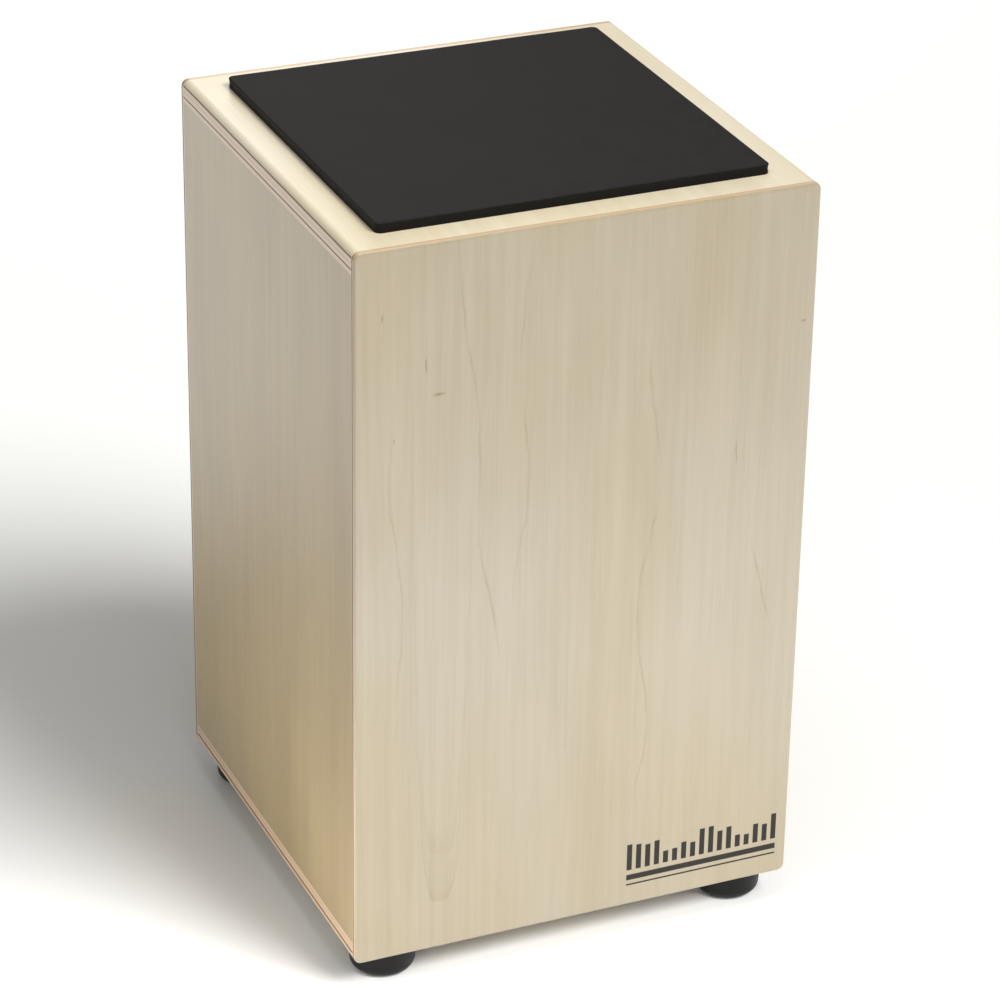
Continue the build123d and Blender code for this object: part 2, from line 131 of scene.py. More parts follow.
def new_material(name):
    """An empty material with its tree and the piece's own coordinates."""
    material = bpy.data.materials.new(name)
    material.use_nodes = True
    tree = material.node_tree
    tree.nodes.clear()
    return material, tree, add(tree, "ShaderNodeTexCoord")


def finish_with(material, *names):
    """Gives a finish to the CAD nodes that keep their shape."""
    for name in names:
        slots = NODES[name].material_slots
        for slot in slots:
            slot.material = material
        if not slots:
            NODES[name].data.materials.append(material)
    print(material.name, "on", len(names), "parts")


def stretched(axis, across, along):
    """Mapping scale for a grain that is `across` metres wide and `along` metres long on one axis."""
    scale = [1 / across] * 3
    scale[axis] = 1 / along
    return scale


print("middle grey as a linear value:", round(linear("#808080")[0], 3))

# %% [markdown]
# The camera stands in front, to the left and above, with a long lens as in a catalogue. Its bearing is
# given by two angles and a distance from a point inside the drum, plus a small roll, and a rotation is
# built from them. A long lens keeps the upright edges nearly parallel.

# %% Camera
CAMERA_BEARING = math.radians(23.647)
CAMERA_RISE = math.radians(27.036)
CAMERA_ROLL = math.radians(0.955)
CAMERA_DISTANCE = 2.5448
CAMERA_AIM = Vector((0.00925, 0.0, 0.24547))
CAMERA_LENS = 142.25

level = math.cos(CAMERA_RISE)
backwards = Vector(
    (-math.sin(CAMERA_BEARING) * level, -math.cos(CAMERA_BEARING) * level, math.sin(CAMERA_RISE))
)
camera_data = bpy.data.cameras.new("camera")
camera_data.lens = CAMERA_LENS
camera = bpy.data.objects.new("camera", camera_data)
camera.rotation_mode = "QUATERNION"
camera.location = CAMERA_AIM + backwards * CAMERA_DISTANCE
unrolled = (-backwards).to_track_quat("-Z", "Y").to_matrix()
camera.rotation_quaternion = (unrolled @ Matrix.Rotation(CAMERA_ROLL, 3, "Z")).to_quaternion()
bpy.context.scene.collection.objects.link(camera)
bpy.context.scene.camera = camera
print("camera at", [round(c, 3) for c in camera.location])

# %% [markdown]
# The light is a plain studio. A big soft lamp far away, high in front and a little to the right, is made
# as a sun with a wide disc, because it lights the whole floor evenly. The pale sheet then sends light
# back up, and the drum's soft shadow falls behind it to the left, where the lacquered side mirrors it:
# that is why the side is dark low down at the back and pale at the top. A square lamp overhead lights the
# pad and another, far behind, fills the back. A long strip close in front and a small lamp low on the left
# lift the foot of the drum. A dim sky fills the rest.
# No lamp shows to the camera, and the key, the strip and the small lamp are kept out of reflections,
# because each would leave a bright line in the lacquer.

# %% Lights
def lamp(name, kind, place, aim, mirrored=True, **settings):
    """A lamp at a place, turned towards a point and unseen by the camera."""
    data = bpy.data.lights.new(name, kind)
    for key, value in settings.items():
        setattr(data, key, value)
    made = bpy.data.objects.new(name, data)
    made.location = place
    made.rotation_mode = "QUATERNION"
    made.rotation_quaternion = (Vector(aim) - Vector(place)).to_track_quat("-Z", "Y")
    made.visible_camera = False
    made.visible_glossy = mirrored
    bpy.context.scene.collection.objects.link(made)
    print(name, [round(c, 2) for c in made.location])


KEY_BEARING, KEY_RISE = math.radians(31), math.radians(47)
key_level = math.cos(KEY_RISE)
key_place = Vector(
    (math.sin(KEY_BEARING) * key_level, -math.cos(KEY_BEARING) * key_level, math.sin(KEY_RISE))
)
lamp(
    "far_key_light", "SUN", key_place * 3, (0, 0, 0), mirrored=False, energy=3.1, angle=math.radians(28)
)
lamp("overhead_light", "AREA", (-0.08, -0.2, 1.18), (0.0, -0.1, 0.5), shape="SQUARE", size=0.4, energy=2.3)
lamp("back_fill_light", "AREA", (0.6, 2.4, 0.8), (0.0, 0.15, 0.3), shape="SQUARE", size=0.8, energy=6.0)
lamp(
    "low_strip_light", "AREA", (0.15, -0.62, 0.08), (0.05, 0, 0.05), mirrored=False, shape="RECTANGLE",
    size=1.2, size_y=0.16, energy=1.8, color=linear("#E2EBFF")[:3],
)
lamp(
    "low_left_light", "AREA", (-0.42, -0.17, 0.06), (-0.15, -0.13, 0.04), mirrored=False, shape="SQUARE",
    size=0.12, energy=0.6,
)

world = bpy.data.worlds.new("studio")
world.use_nodes = True
world.node_tree.nodes["Background"].inputs["Color"].default_value = linear("#FDFDFB")
world.node_tree.nodes["Background"].inputs["Strength"].default_value = 0.28
bpy.context.scene.world = world
bpy.context.scene.view_settings.view_transform = "Standard"

# %% [markdown]
# The floor is a sheet of pale paper. It is a disc, so that no corner shows, and it is wide enough that its
# rim stays out of sight in low views. Its underside is clear, to look at the drum from below.

# %% Floor
FLOOR_RADIUS = 30.0
floor_mesh = bpy.data.meshes.new("floor")
work = bmesh.new()
bmesh.ops.create_circle(work, cap_ends=True, radius=FLOOR_RADIUS, segments=96)
work.to_mesh(floor_mesh)
work.free()
floor = bpy.data.objects.new("floor", floor_mesh)
bpy.context.scene.collection.objects.link(floor)
material, tree, place = new_material("pale_paper_sweep")
pale = add(tree, "ShaderNodeBsdfDiffuse", {"Color": linear("#F4F4F2")})
clear = add(tree, "ShaderNodeBsdfTransparent")
side_seen = add(tree, "ShaderNodeNewGeometry")
sheet = add(tree, "ShaderNodeMixShader", {0: side_seen.outputs["Backfacing"], 1: pale, 2: clear})
add(tree, "ShaderNodeOutputMaterial", {"Surface": sheet})
floor_mesh.materials.append(material)
floor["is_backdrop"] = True
print("floor radius", FLOOR_RADIUS, "faces", len(floor_mesh.polygons))

# %% [markdown]
# Plywood is thin sheets of wood glued crosswise. Two things tell the eye that it is plywood. The faces
# show one continuous sheet of veneer, with long fibres and slow changes of tone. The edges show the
# sheets in turn: where a sheet's fibres run along the edge it is pale, and where they end there it is
# brown, because open pores soak up lacquer and hold shadow.
# One material does both. It works out how deep a point lies under the face, which gives the sheet, and
# how squarely the surface cuts that sheet's fibres, which gives the end grain. So a rounded edge or the
# rim of a round hole comes out right with no seams and no unwrapping.

# %% Plywood, lacquered
X_AXIS, Y_AXIS, Z_AXIS = 0, 1, 2
FIBRE_ACROSS, FIBRE_ALONG = 0.9 * MM, 60 * MM
STREAK_ACROSS, STREAK_ALONG = 5.5 * MM, 260 * MM
CLOUD_ACROSS, CLOUD_ALONG = 55 * MM, 190 * MM
WARM_ACROSS, WARM_ALONG = 90 * MM, 220 * MM
WARM_TINT = "#FDFAEF"
EDGE_TINT = "#CBAA85"
END_GRAIN_DARK, END_GRAIN_LIGHT = "#3C1F08", "#6A4220"
PORE = 0.7 * MM
FIBRE_SHARE, STREAK_SHARE, CLOUD_SHARE = 0.3, 0.36, 0.34
SHEET_WAVER = 0.03
LACQUER_IOR, LACQUER_ROUGHNESS = 1.75, 0.28
WOOD_IOR = 1.5


def noise(tree, place, scale, detail=2.0, roughness=0.5, distortion=0.0, shift=(0.0, 0.0, 0.0)):
    """A soft random pattern over a mapped copy of the coordinates, from 0 to 1."""
    mapped = add(
        tree, "ShaderNodeMapping", {"Vector": place.outputs["Object"], "Scale": scale, "Location": shift}
    )
    return add(
        tree,
        "ShaderNodeTexNoise",
        {
            "Vector": mapped,
            "Scale": 1.0,
            "Detail": detail,
            "Roughness": roughness,
            "Distortion": distortion,
        },
    )


def sheet_stops(sheets, softness=0.012):
    """Ramp stops that are white inside each crossed sheet: (middle, width, strength), in shares."""
    stops = [(0.0, grey(0.0))]
    for middle, width, strength in sheets:
        low, high = middle - width / 2, middle + width / 2
        stops.append((low - softness, grey(0.0)))
        stops.append((low + softness, grey(strength)))
        stops.append((high - softness, grey(strength)))
        stops.append((high + softness, grey(0.0)))
    return stops


def plywood(name, node, face, grain, cross, sheets, colours, figure=None, shift=(0, 0, 0), shine=0.4):
    """Plywood for one panel: `face`, `grain` and `cross` are the axes of its thickness, its face fibres
    and its crossed fibres, `sheets` the crossed sheets through its thickness, and `colours` those of
    light wood, dark wood and ring lines."""
    light, dark, deep = colours
    low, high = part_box(node)
    material, tree, place = new_material(name)
    spot = add(tree, "ShaderNodeSeparateXYZ", {0: place.outputs["Object"]})
    facing = add(tree, "ShaderNodeSeparateXYZ", {0: place.outputs["Normal"]})

    waver = noise(tree, place, (40, 40, 40), detail=1.0)
    depth = add(
        tree,
        "ShaderNodeMapRange",
        {0: spot.outputs[face], 1: low[face], 2: high[face]},
        clamp=False,
    )
    depth = add(tree, "ShaderNodeMath", {0: waver, 1: SHEET_WAVER, 2: depth}, operation="MULTIPLY_ADD")
    depth = add(tree, "ShaderNodeMath", {0: depth, 1: SHEET_WAVER / 2}, operation="SUBTRACT")
    crossed = add(tree, "ShaderNodeValToRGB", {0: depth}, stops=sheet_stops(sheets))

    along_face = add(
        tree, "ShaderNodeMath", {0: facing.outputs[grain], 1: facing.outputs[grain]}, operation="MULTIPLY"
    )
    along_cross = add(
        tree, "ShaderNodeMath", {0: facing.outputs[cross], 1: facing.outputs[cross]}, operation="MULTIPLY"
    )
    cut = add(tree, "ShaderNodeMix", {0: crossed, 2: along_face, 3: along_cross}, data_type="FLOAT")
    cut_crossed = add(tree, "ShaderNodeMath", {0: cut, 1: crossed}, operation="MULTIPLY")

    fibre = noise(tree, place, stretched(grain, FIBRE_ACROSS, FIBRE_ALONG), 3.0, 0.65, shift=shift)
    streak = noise(tree, place, stretched(grain, STREAK_ACROSS, STREAK_ALONG), 3.0, 0.55, 0.3, shift)
    cloud = noise(tree, place, stretched(grain, CLOUD_ACROSS, CLOUD_ALONG), 2.0, 0.5, 0.6, shift)
    tone = add(tree, "ShaderNodeMath", {0: fibre, 1: FIBRE_SHARE, 2: 0.0}, operation="MULTIPLY_ADD")
    tone = add(tree, "ShaderNodeMath", {0: streak, 1: STREAK_SHARE, 2: tone}, operation="MULTIPLY_ADD")
    tone = add(tree, "ShaderNodeMath", {0: cloud, 1: CLOUD_SHARE, 2: tone}, operation="MULTIPLY_ADD")
    if figure:
        tone = add(tree, "ShaderNodeMath", {0: tone, 1: figure(tree, place, spot)}, operation="SUBTRACT")
    veneer = add(
        tree,
        "ShaderNodeValToRGB",
        {0: tone},
        stops=[(0.0, linear(deep)), (0.28, linear(dark)), (0.62, linear(light))],
    )
    warm = noise(tree, place, stretched(grain, WARM_ACROSS, WARM_ALONG), 2.0, 0.5, 0.5, (4.0, 4.0, 4.0))
    warm = add(tree, "ShaderNodeMapRange", {0: warm, 1: 0.4, 2: 0.66})
    veneer = add(
        tree,
        "ShaderNodeMix",
        {"Factor": warm, "A": veneer, "B": linear(WARM_TINT)},
        data_type="RGBA",
        blend_type="MULTIPLY",
    )

    pore = noise(tree, place, (1 / PORE,) * 3, 2.0, 0.7)
    end_tone = add(
        tree,
        "ShaderNodeValToRGB",
        {0: pore},
        stops=[(0.3, linear(END_GRAIN_DARK)), (0.62, linear(END_GRAIN_LIGHT))],
    )
    edge = add(
        tree, "ShaderNodeMath", {0: facing.outputs[face], 1: facing.outputs[face]}, operation="MULTIPLY"
    )
    edge = add(tree, "ShaderNodeMapRange", {0: edge, 1: 0.25, 2: 0.03})
    veneer = add(
        tree,
        "ShaderNodeMix",
        {"Factor": edge, "A": veneer, "B": linear(EDGE_TINT)},
        data_type="RGBA",
    )
    colour = add(
        tree, "ShaderNodeMix", {"Factor": cut_crossed, "A": veneer, "B": end_tone}, data_type="RGBA"
    )
    relief = add(tree, "ShaderNodeMath", {0: pore, 1: cut, 2: fibre}, operation="MULTIPLY_ADD")
    bump = add(tree, "ShaderNodeBump", {"Strength": 0.12, "Distance": 0.05 * MM, "Height": relief})
    rough = add(tree, "ShaderNodeMapRange", {0: streak, 3: shine - 0.05, 4: shine + 0.07})
    coat = add(tree, "ShaderNodeMath", {0: 1.0, 1: cut_crossed}, operation="SUBTRACT")
    shader = add(
        tree,
        "ShaderNodeBsdfPrincipled",
        {
            "Base Color": colour,
            "Roughness": rough,
            "Normal": bump,
            "IOR": WOOD_IOR,
            "Coat Weight": coat,
            "Coat Roughness": LACQUER_ROUGHNESS,
            "Coat IOR": LACQUER_IOR,
        },
    )
    add(tree, "ShaderNodeOutputMaterial", {"Surface": shader})
    return material


print("veneer fibres", round(FIBRE_ACROSS / MM, 2), "mm wide, pores", round(PORE / MM, 2), "mm")

# %% [markdown]
# The top and bottom panels are seven sheets thick and lap over the sides, so their ends show the sheets
# as stripes. The face fibres run from front to back on them and upwards on the sides. The middle sheet
# of the top panel is paler than its neighbours, and in the bottom panel it is the strong one.
# Each panel has its own pair of wood colours. The colours of the sides and the front hold painted shade:
# they are set deeper than the top's so that they keep their shaded tone beside it under these lamps.
# Under other lamps they look browner than the top does.

# %% Panels of the box
TOP_SHEETS = [(0.24, 0.085, 1.0), (0.505, 0.07, 0.55), (0.755, 0.075, 1.0)]
BOTTOM_SHEETS = [(0.2, 0.08, 0.8), (0.5, 0.12, 1.0), (0.79, 0.06, 0.6)]
SIDE_SHEETS = [(0.24, 0.08, 1.0), (0.5, 0.08, 0.8), (0.76, 0.08, 1.0)]
THIN_SHEETS = [(0.5, 0.34, 1.0)]

finish_with(
    plywood(
        "birch_ply_top_lacquered_painted_shade", "top_panel", Z_AXIS, Y_AXIS, X_AXIS, TOP_SHEETS,
        ("#E6DBC2", "#D6C8A8", "#B59F72"),
    ),
    "top_panel",
)
finish_with(
    plywood(
        "birch_ply_bottom_lacquered_painted_shade", "bottom_panel", Z_AXIS, Y_AXIS, X_AXIS, BOTTOM_SHEETS,
        ("#C9BA9A", "#B8A681", "#947C50"), shift=(3.0, 1.0, 0.0),
    ),
    "bottom_panel",
)
for number, side in enumerate(SIDES):
    finish_with(
        plywood(
            f"birch_ply_{side}_lacquered_painted_shade", f"{side}_side_panel", X_AXIS, Z_AXIS, Y_AXIS, SIDE_SHEETS,
            # These side colours hold painted shade: they are darker than the top's wood.
            ("#A38B56", "#826831", "#604818"), shift=(0.0, 5.0 + 3.0 * number, 2.0),
        ),
        f"{side}_side_panel",
    )
finish_with(
    plywood(
        "birch_ply_back_lacquered_painted_shade", "back_panel", Y_AXIS, Z_AXIS, X_AXIS, THIN_SHEETS,
        ("#BFAF8B", "#A79369", "#866D42"), shift=(9.0, 0.0, 4.0),
    ),
    "back_panel",
)

# %% [markdown]
# The tapa is the thin plate that the player strikes. Its face veneer is cut flat from the log, so the
# yearly rings run down it as a few long wandering lines, and low on the left they close to a tongue.
# Each line is a distance: how far a point lies from a slowly bending curve. A few pin knots and mineral
# flecks are small stretched spots. All of them only darken the veneer a little.

# %% Figure of the front veneer
RING_LINES = [  # x at the underside, lean, swing, swing's phase, from z, to z
    (-42.0, -0.085, 2.5, 0.4, 190, 483),
    (-46.0, 0.012, 4.0, 2.2, 225, 470),
    (99.0, 0.0, 2.5, 0.9, 240, 420),
    (146.0, -0.11, 4.5, 1.4, 170, 340),
    (38.0, 0.02, 5.0, 3.0, 60, 460),
    (-118.0, -0.02, 3.0, 5.1, 120, 420),
]
FLECKS = [  # x, z above the underside, half width, half length
    (-132, 440, 0.7, 3.5),
    (-125, 360, 0.8, 2.0),
    (-104, 406, 0.9, 7.0),
    (-96, 386, 5.5, 1.3),
    (142, 394, 2.5, 1.2),
    (100, 312, 0.5, 10.0),
]
SWING_LENGTH = 170.0
TONGUE_X, TONGUE_Z = -93.0, 33.0
TONGUE_WIDTH, TONGUE_LENGTH = 15.5, 110.0


def front_figure(tree, place, spot):
    """How much each point of the front veneer is darkened by rings and flecks."""
    wander = noise(tree, place, (26, 26, 17), detail=5.0, roughness=0.62)
    across = add(
        tree, "ShaderNodeMath", {0: spot.outputs["X"], 1: 1 / MM, 2: 0.0}, operation="MULTIPLY_ADD"
    )
    across = add(tree, "ShaderNodeMath", {0: wander, 1: 9.0, 2: across}, operation="MULTIPLY_ADD")
    across = add(tree, "ShaderNodeMath", {0: across, 1: 4.5}, operation="SUBTRACT")
    up = add(
        tree, "ShaderNodeMath", {0: spot.outputs["Z"], 1: 1 / MM, 2: -BOX_LOW / MM}, operation="MULTIPLY_ADD"
    )
    broken = noise(tree, place, (35, 35, 22), detail=2.0, shift=(6.0, 0.0, 6.0))
    broken = add(tree, "ShaderNodeMapRange", {0: broken, 1: 0.38, 2: 0.62})
    total = 0.0
    for start, lean, swing, phase, low, high in RING_LINES:
        angle = add(
            tree, "ShaderNodeMath", {0: up, 1: 2 * math.pi / SWING_LENGTH, 2: phase}, operation="MULTIPLY_ADD"
        )
        swung = add(tree, "ShaderNodeMath", {0: angle}, operation="SINE")
        path = add(tree, "ShaderNodeMath", {0: up, 1: lean, 2: start}, operation="MULTIPLY_ADD")
        path = add(tree, "ShaderNodeMath", {0: swung, 1: swing, 2: path}, operation="MULTIPLY_ADD")
        away = add(tree, "ShaderNodeMath", {0: across, 1: path}, operation="SUBTRACT")
        line = add(
            tree,
            "ShaderNodeMapRange",
            {0: away, 1: 2.0, 2: 0.0, 3: 0.0, 4: 0.26},
            interpolation_type="SMOOTHSTEP",
        )
        sharp = add(tree, "ShaderNodeMapRange", {0: away, 1: -0.6, 2: 0.0})
        line = add(tree, "ShaderNodeMath", {0: line, 1: sharp}, operation="MULTIPLY")
        line = add(tree, "ShaderNodeMath", {0: line, 1: broken}, operation="MULTIPLY")
        fade_in = add(tree, "ShaderNodeMapRange", {0: up, 1: float(low), 2: low + 40.0})
        fade_out = add(tree, "ShaderNodeMapRange", {0: up, 1: float(high), 2: high - 40.0})
        line = add(tree, "ShaderNodeMath", {0: line, 1: fade_in}, operation="MULTIPLY")
        line = add(tree, "ShaderNodeMath", {0: line, 1: fade_out}, operation="MULTIPLY")
        total = add(tree, "ShaderNodeMath", {0: line, 1: total}, operation="ADD")

    share = add(
        tree,
        "ShaderNodeMath",
        {0: across, 1: 1 / TONGUE_WIDTH, 2: -TONGUE_X / TONGUE_WIDTH},
        operation="MULTIPLY_ADD",
    )
    wall = add(tree, "ShaderNodeMath", {0: share, 1: 4.0}, operation="POWER")
    ring = add(
        tree, "ShaderNodeMath", {0: up, 1: 1 / TONGUE_LENGTH, 2: -TONGUE_Z / TONGUE_LENGTH},
        operation="MULTIPLY_ADD",
    )
    ring = add(tree, "ShaderNodeMath", {0: ring, 1: wall}, operation="SUBTRACT")
    tongue = add(
        tree,
        "ShaderNodeValToRGB",
        {0: ring},
        stops=[
            (0.0, grey(0.0)),
            (0.02, grey(0.2)),
            (0.08, grey(0.08)),
            (0.3, grey(0.02)),
            (0.34, grey(0.12)),
            (0.5, grey(0.0)),
        ],
    )
    total = add(tree, "ShaderNodeMath", {0: tongue, 1: total}, operation="ADD")

    for x, z, half_width, half_length in FLECKS:
        dx = add(
            tree, "ShaderNodeMath", {0: across, 1: 1 / half_width, 2: -x / half_width},
            operation="MULTIPLY_ADD",
        )
        dz = add(
            tree, "ShaderNodeMath", {0: up, 1: 1 / half_length, 2: -z / half_length},
            operation="MULTIPLY_ADD",
        )
        dx = add(tree, "ShaderNodeMath", {0: dx, 1: dx}, operation="MULTIPLY")
        away = add(tree, "ShaderNodeMath", {0: dz, 1: dz, 2: dx}, operation="MULTIPLY_ADD")
        spot_dark = add(tree, "ShaderNodeMapRange", {0: away, 1: 1.0, 2: 0.0, 3: 0.0, 4: 0.42})
        total = add(tree, "ShaderNodeMath", {0: spot_dark, 1: total}, operation="ADD")
    return total


finish_with(
    plywood(
        "maple_faced_ply_lacquered_painted_shade", "tapa", Y_AXIS, Z_AXIS, X_AXIS, [(0.66, 0.32, 1.0)],
        # The front's colours hold painted shade: they are darker than the top's wood.
        ("#A69982", "#978A6E", "#7A663C"), figure=front_figure, shift=(1.0, 0.0, 7.0),
    ),
    "tapa",
)

# %% [markdown]
# The seat pad is a sheet of closed-cell foam rubber, die-cut and glued down. A box would look like a
# tile. The press that cuts foam squeezes it, so its cut sides spring back a little hollow, its upper
# edge is soft, and its face is never quite flat. It is built as rounded-square loops, one above the
# other up the side and then one inside the other across the top, which gives even quads all over.

# %% Seat pad shape
PAD_CORNER = 4.0 * MM
PAD_EDGE = 0.8 * MM
PAD_HOLLOW = 0.35 * MM
PAD_WAVE = 0.15 * MM
LOOP_SPACING = 6.0 * MM
SIDE_STEPS, CORNER_STEPS = 36, 8


def rounded_square(half, corner):
    """Points round a square with rounded corners, the same number for any size."""
    points = []
    straight = half - corner
    for quarter in range(4):
        turn = Matrix.Rotation(quarter * math.pi / 2, 2)
        for step in range(SIDE_STEPS):
            points.append(turn @ Vector((half, straight * (2 * step / SIDE_STEPS - 1))))
        for step in range(CORNER_STEPS):
            angle = math.pi / 2 * step / CORNER_STEPS
            out = Vector((math.cos(angle), math.sin(angle))) * corner
            points.append(turn @ (Vector((straight, straight)) + out))
    return points


def pad_loops(half, low, high):
    """The pad's loops from its underside to the middle of its top: half size, corner and height."""
    loops = [(half - 0.2 * MM, PAD_CORNER, low)]
    for share in (0.08, 0.3, 0.5, 0.7):
        hollow = PAD_HOLLOW * math.sin(math.pi * share / 0.9)
        loops.append((half - hollow, PAD_CORNER, low + share * (high - low)))
    for step in range(5):
        angle = math.pi / 2 * step / 4
        inward = PAD_EDGE * (1 - math.cos(angle))
        loops.append((half - inward, PAD_CORNER - inward, high - PAD_EDGE * (1 - math.sin(angle))))
    inner = half - PAD_EDGE - 1.5 * MM
    while inner > LOOP_SPACING:
        loops.append((inner, min(PAD_CORNER, inner / 2), high))
        inner -= LOOP_SPACING
    return loops


def new_piece(name, work, material, smooth=True):
    """Turns finished bmesh work into an object at the origin, with its faces outwards."""
    bmesh.ops.remove_doubles(work, verts=work.verts, dist=0.001 * MM)
    bmesh.ops.recalc_face_normals(work, faces=work.faces)
    mesh = bpy.data.meshes.new(name)
    work.to_mesh(mesh)
    work.free()
    mesh.materials.append(material)
    if smooth:
        mesh.shade_smooth()
    else:
        mesh.shade_flat()
    piece = bpy.data.objects.new(name, mesh)
    bpy.context.scene.collection.objects.link(piece)
    return piece


def stitch_loops(work, loops):
    """Quads between each loop of vertices and the next, and a face at each end."""
    count = len(loops[0])
    for below, above in zip(loops, loops[1:]):
        for i in range(count):
            j = (i + 1) % count
            work.faces.new((below[i], below[j], above[j], above[i]))
    work.faces.new(reversed(loops[0]))
    work.faces.new(loops[-1])


print("pad loops of", 4 * (SIDE_STEPS + CORNER_STEPS), "points")

# %% [markdown]
# Foam rubber is matt: its skin is full of tiny open cells that scatter light. What the eye reads is a
# charcoal grey rather than black and faint cloudy patches where the sheet was pressed. The upright cut
# sides are coloured nearly black, darker than the top.

# %% Seat pad finish and placing
CELL = 0.9 * MM
PATCH = 11 * MM

material, tree, place = new_material("foam_rubber_closed_cell")
patches = noise(tree, place, (1 / PATCH,) * 3, 4.0, 0.6, 0.4)
cells = noise(tree, place, (1 / CELL,) * 3, 2.0, 0.7)
mottle = add(tree, "ShaderNodeMath", {0: cells, 1: 0.35, 2: patches}, operation="MULTIPLY_ADD")
face_colour = add(
    tree, "ShaderNodeValToRGB", {0: mottle}, stops=[(0.42, linear("#171514")), (0.95, linear("#242120"))]
)
facing = add(tree, "ShaderNodeSeparateXYZ", {0: place.outputs["Normal"]})
# The upright sides are coloured darker than the top.
cut_side = add(tree, "ShaderNodeMapRange", {0: facing.outputs["Z"], 1: 0.6, 2: 0.1})
colour = add(
    tree,
    "ShaderNodeMix",
    {"Factor": cut_side, "A": face_colour, "B": linear("#0D0C0B")},
    data_type="RGBA",
)
bump = add(tree, "ShaderNodeBump", {"Strength": 0.25, "Distance": 0.12 * MM, "Height": mottle})
rough = add(tree, "ShaderNodeMapRange", {0: patches, 3: 0.62, 4: 0.78})
shader = add(
    tree,
    "ShaderNodeBsdfPrincipled",
    {"Base Color": colour, "Roughness": rough, "Normal": bump, "IOR": 1.45, "Specular IOR Level": 0.32},
)
add(tree, "ShaderNodeOutputMaterial", {"Surface": shader})

work = bmesh.new()
pad_half = (PAD_HIGH.x - PAD_LOW.x) / 2
pad_middle = (PAD_HIGH + PAD_LOW) / 2
loops = []
for half, corner, height in pad_loops(pad_half, PAD_LOW.z, PAD_HIGH.z - PAD_WAVE):
    loop = []
    for point in rounded_square(half, corner):
        spot = Vector((pad_middle.x + point.x, pad_middle.y + point.y, height))
        if height > pad_middle.z:
            spot.z += PAD_WAVE * value_noise.noise(spot * 22)
        loop.append(work.verts.new(spot))
    loops.append(loop)
stitch_loops(work, loops)
pad = new_piece("seat_pad_foam", work, material)
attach(pad, "box")
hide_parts("seat_pad")
print("seat pad:", len(pad.data.polygons), "faces,", round(1000 * (PAD_HIGH.z - PAD_LOW.z), 1), "mm thick")

# %% [markdown]
# Low on the right the front carries a printed mark. Here it is a plain rhythm mark: a row of bars of
# changing height over a rule and a hairline, as a sound meter would draw a drum pattern. It repeats, so
# Geometry Nodes set it out: points along a line, a bar on each point, and a height from two crossed
# waves. The ink is a film about as thick as paper, let a little into the lacquer so that no gap shows.

# %% Printed mark
MARK_LEFT, MARK_RIGHT = 36 * MM, 142 * MM
RULE_LOW, RULE_HIGH = 18.5 * MM, 22.5 * MM
HAIR_LOW, HAIR_HIGH = 14.6 * MM, 15.7 * MM
BARS_LOW = 26.0 * MM
BAR_TALL, BAR_SHORT = 22.0 * MM, 6.0 * MM
BAR_COUNT = 17
BAR_FILL = 0.56
INK_PROUD, INK_SUNK = 0.05 * MM, 0.03 * MM


def new_tree(name, **inputs):
    """A geometry tree with named number inputs, its input node and its interface sockets."""
    tree = bpy.data.node_groups.new(name, "GeometryNodeTree")
    tree.interface.new_socket("Geometry", in_out="INPUT", socket_type="NodeSocketGeometry")
    sockets = {}
    for label, kind in inputs.items():
        sockets[label] = tree.interface.new_socket(label, in_out="INPUT", socket_type=kind)
    tree.interface.new_socket("Geometry", in_out="OUTPUT", socket_type="NodeSocketGeometry")
    return tree, add(tree, "NodeGroupInput"), sockets


def close_tree(tree, shape, material):
    """Ends a tree as every one here ends: instances made real, material set."""
    real = add(tree, "GeometryNodeRealizeInstances", {0: shape})
    dressed = add(tree, "GeometryNodeSetMaterial", {0: real, "Material": material})
    add(tree, "NodeGroupOutput", {0: dressed})


def grown(name, base, tree, sockets, values):
    """Runs a tree on a base mesh and keeps the result as one plain mesh object."""
    holder = bpy.data.objects.new(name, base)
    bpy.context.scene.collection.objects.link(holder)
    modifier = holder.modifiers.new("grow", "NODES")
    modifier.node_group = tree
    for label, value in values.items():
        modifier[sockets[label].identifier] = value
    ready = holder.evaluated_get(bpy.context.evaluated_depsgraph_get())
    result = bpy.data.meshes.new_from_object(ready)
    holder.modifiers.remove(modifier)
    holder.data = result
    return holder


material, tree, place = new_material("screen_ink_matt")
speck = noise(tree, place, (1 / (0.8 * MM),) * 3, 3.0, 0.6)
colour = add(
    tree, "ShaderNodeValToRGB", {0: speck}, stops=[(0.3, linear("#1B1712")), (0.7, linear("#28231C"))]
)
shader = add(
    tree, "ShaderNodeBsdfPrincipled", {"Base Color": colour, "Roughness": 0.5, "IOR": 1.48}
)
add(tree, "ShaderNodeOutputMaterial", {"Surface": shader})
INK = material

tree, given, sockets = new_tree(
    "rhythm_mark", Count="NodeSocketInt", Pitch="NodeSocketFloat", Width="NodeSocketFloat",
    Short="NodeSocketFloat", Tall="NodeSocketFloat", Thickness="NodeSocketFloat",
)
number = add(tree, "GeometryNodeInputIndex")
wave = add(tree, "ShaderNodeMath", {0: number, 1: 0.82, 2: 0.5}, operation="MULTIPLY_ADD")
wave = add(tree, "ShaderNodeMath", {0: wave}, operation="SINE")
beat = add(tree, "ShaderNodeMath", {0: number, 1: 2.3, 2: 1.1}, operation="MULTIPLY_ADD")
beat = add(tree, "ShaderNodeMath", {0: beat}, operation="SINE")
beat = add(tree, "ShaderNodeMath", {0: beat, 1: 0.6, 2: wave}, operation="MULTIPLY_ADD")
height = add(
    tree,
    "ShaderNodeMapRange",
    {0: beat, 1: -1.6, 2: 1.6, 3: given.outputs["Short"], 4: given.outputs["Tall"]},
)
stretch = add(tree, "ShaderNodeCombineXYZ", {"X": 1.0, "Y": 1.0, "Z": height})
pitch = add(tree, "ShaderNodeCombineXYZ", {"X": given.outputs["Pitch"]})
